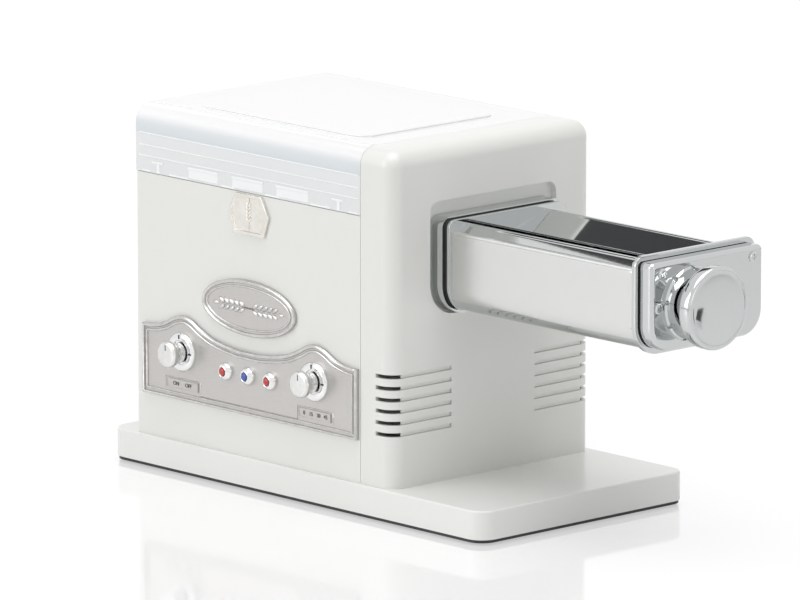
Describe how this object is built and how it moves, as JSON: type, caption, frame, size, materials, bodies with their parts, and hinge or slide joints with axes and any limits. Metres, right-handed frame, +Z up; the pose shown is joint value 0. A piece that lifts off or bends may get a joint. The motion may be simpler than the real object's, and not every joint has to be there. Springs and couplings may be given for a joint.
{
  "type": "electric pasta maker",
  "caption": "Boxed dough mixer on a board, with a clear hinged lid, front dials and buttons, and a metal sheet roller plugged into its right side",
  "frame": {"origin": "centre of the board's footprint on the surface it stands on", "axes": "+X right towards the sheet roller, +Y from the control panel to the back, +Z up"},
  "size_m": [0.4405, 0.1782, 0.2175],
  "materials": {
    "white_shell": "gloss",
    "dark_plastic": "matte",
    "grey_plastic": "matte",
    "tub_plastic": "satin",
    "gear_plastic": "satin",
    "clear_plastic": "clear",
    "rubber": "matte",
    "screw_steel": "satin",
    "pewter_plate": "brushed",
    "silver_knob": "satin",
    "chrome_trim": "polished",
    "chrome_sheet": "polished",
    "roller_metal": "satin",
    "red_plastic": "gloss",
    "blue_plastic": "gloss",
    "board_green": "satin"
  },
  "bodies": {
    "housing": {"base_slab": "white_shell", "base_tray": "dark_plastic", "rubber_feet": "rubber", "casing_screws": "screw_steel", "right_end_casing": "white_shell", "front_casing": "white_shell", "rear_casing": "white_shell", "left_end_casing": "white_shell", "inner_frame": "grey_plastic", "hinge_pins": "screw_steel", "mixing_tub": "tub_plastic", "idler_pin": "screw_steel", "shaft_bushes": "dark_plastic", "motor_housing": "screw_steel", "control_plate": "pewter_plate", "front_plaque": "pewter_plate", "front_badge": "pewter_plate", "knob_dials": "chrome_trim", "rotary_switches": "dark_plastic", "button_bezels": "chrome_trim", "push_switches": "dark_plastic", "control_board": "board_green", "mains_inlet": "dark_plastic"},
    "lid": {"clear_lid": "clear_plastic"},
    "kneader": {"kneader_shaft": "screw_steel", "kneader_blade": "tub_plastic", "output_gear": "gear_plastic", "drive_socket": "dark_plastic"},
    "idler": {"intermediate_gear": "gear_plastic"},
    "motor": {"motor_armature": "screw_steel", "motor_pinion": "screw_steel", "cooling_fan": "dark_plastic"},
    "left_dial": {"left_knob": "silver_knob"},
    "right_dial": {"right_knob": "silver_knob"},
    "left_push": {"left_button": "red_plastic"},
    "middle_push": {"middle_button": "blue_plastic"},
    "right_push": {"right_button": "red_plastic"},
    "attachment": {"mounting_flange": "chrome_sheet", "left_end_plate": "chrome_sheet", "right_end_plate": "chrome_sheet", "gaskets": "rubber", "end_cover": "chrome_sheet", "end_cover_screws": "screw_steel", "tie_bars": "screw_steel", "rear_roller_bushes": "dark_plastic", "front_cover": "chrome_sheet", "rear_cover": "chrome_sheet", "scrapers": "tub_plastic", "regulator_dial": "chrome_trim"},
    "rear_roller_set": {"rear_roller": "roller_metal", "rear_roller_gear": "screw_steel"},
    "carriage": {"bearing_blocks": "dark_plastic"},
    "front_roller_set": {"front_roller": "roller_metal", "front_roller_gear": "screw_steel"},
    "regulator": {"regulator_rod": "screw_steel", "regulator_cams": "screw_steel"},
    "regulator_grip": {"regulator_knob": "silver_knob", "regulator_spring": "screw_steel"}
  },
  "joints": [
    {"name": "lid_hinge", "type": "hinge", "parent": "housing", "child": "lid", "pos_m": [-0.04, 0.07, 0.2065], "axis": [-1, 0, 0], "range_deg": [0, 100]},
    {"name": "kneader_spin", "type": "hinge", "parent": "housing", "child": "kneader", "pos_m": [0, 0.0158, 0.147], "axis": [1, 0, 0], "continuous": true},
    {"name": "idler_spin", "type": "hinge", "parent": "housing", "child": "idler", "pos_m": [0.065, 0.03514, 0.10143], "axis": [1, 0, 0], "continuous": true},
    {"name": "motor_spin", "type": "hinge", "parent": "housing", "child": "motor", "pos_m": [0, 0.02877, 0.066], "axis": [1, 0, 0], "continuous": true},
    {"name": "left_knob_turn", "type": "hinge", "parent": "housing", "child": "left_dial", "pos_m": [-0.0953, -0.09, 0.0746], "axis": [0, 1, 0], "range_deg": [0, 90]},
    {"name": "right_knob_turn", "type": "hinge", "parent": "housing", "child": "right_dial", "pos_m": [0.0193, -0.09, 0.0746], "axis": [0, 1, 0], "range_deg": [0, 270]},
    {"name": "left_button_press", "type": "slide", "parent": "housing", "child": "left_push", "axis": [0, 1, 0], "range_m": [0, 0.0015], "stiffness_N_per_m": 300},
    {"name": "middle_button_press", "type": "slide", "parent": "housing", "child": "middle_push", "axis": [0, 1, 0], "range_m": [0, 0.0015], "stiffness_N_per_m": 300},
    {"name": "right_button_press", "type": "slide", "parent": "housing", "child": "right_push", "axis": [0, 1, 0], "range_m": [0, 0.0015], "stiffness_N_per_m": 300},
    {"name": "attachment_pull", "type": "slide", "parent": "housing", "child": "attachment", "axis": [1, 0, 0], "range_m": [0, 0.06]},
    {"name": "rear_roller_spin", "type": "hinge", "parent": "attachment", "child": "rear_roller_set", "pos_m": [0.169, 0.0158, 0.147], "axis": [1, 0, 0], "continuous": true},
    {"name": "roller_gap", "type": "slide", "parent": "attachment", "child": "carriage", "axis": [0, 1, 0], "range_m": [0, 0.0042]},
    {"name": "front_roller_spin", "type": "hinge", "parent": "carriage", "child": "front_roller_set", "pos_m": [0.169, -0.016, 0.147], "axis": [1, 0, 0], "continuous": true},
    {"name": "regulator_turn", "type": "hinge", "parent": "attachment", "child": "regulator", "pos_m": [0.17, -0.0139, 0.147], "axis": [1, 0, 0], "range_deg": [0, 288]},
    {"name": "regulator_pull", "type": "slide", "parent": "regulator", "child": "regulator_grip", "axis": [1, 0, 0], "range_m": [0, 0.004], "stiffness_N_per_m": 800, "deforming": ["regulator_spring"]}
  ],
  "couplings": [
    {"joint": "idler_spin", "follows": "kneader_spin", "ratio": -3.7143},
    {"joint": "motor_spin", "follows": "kneader_spin", "ratio": 18.571},
    {"joint": "rear_roller_spin", "follows": "kneader_spin", "ratio": 1},
    {"joint": "front_roller_spin", "follows": "kneader_spin", "ratio": -1},
    {"joint": "regulator_turn", "follows": "roller_gap", "rad_per_m": 1196.8}
  ]
}
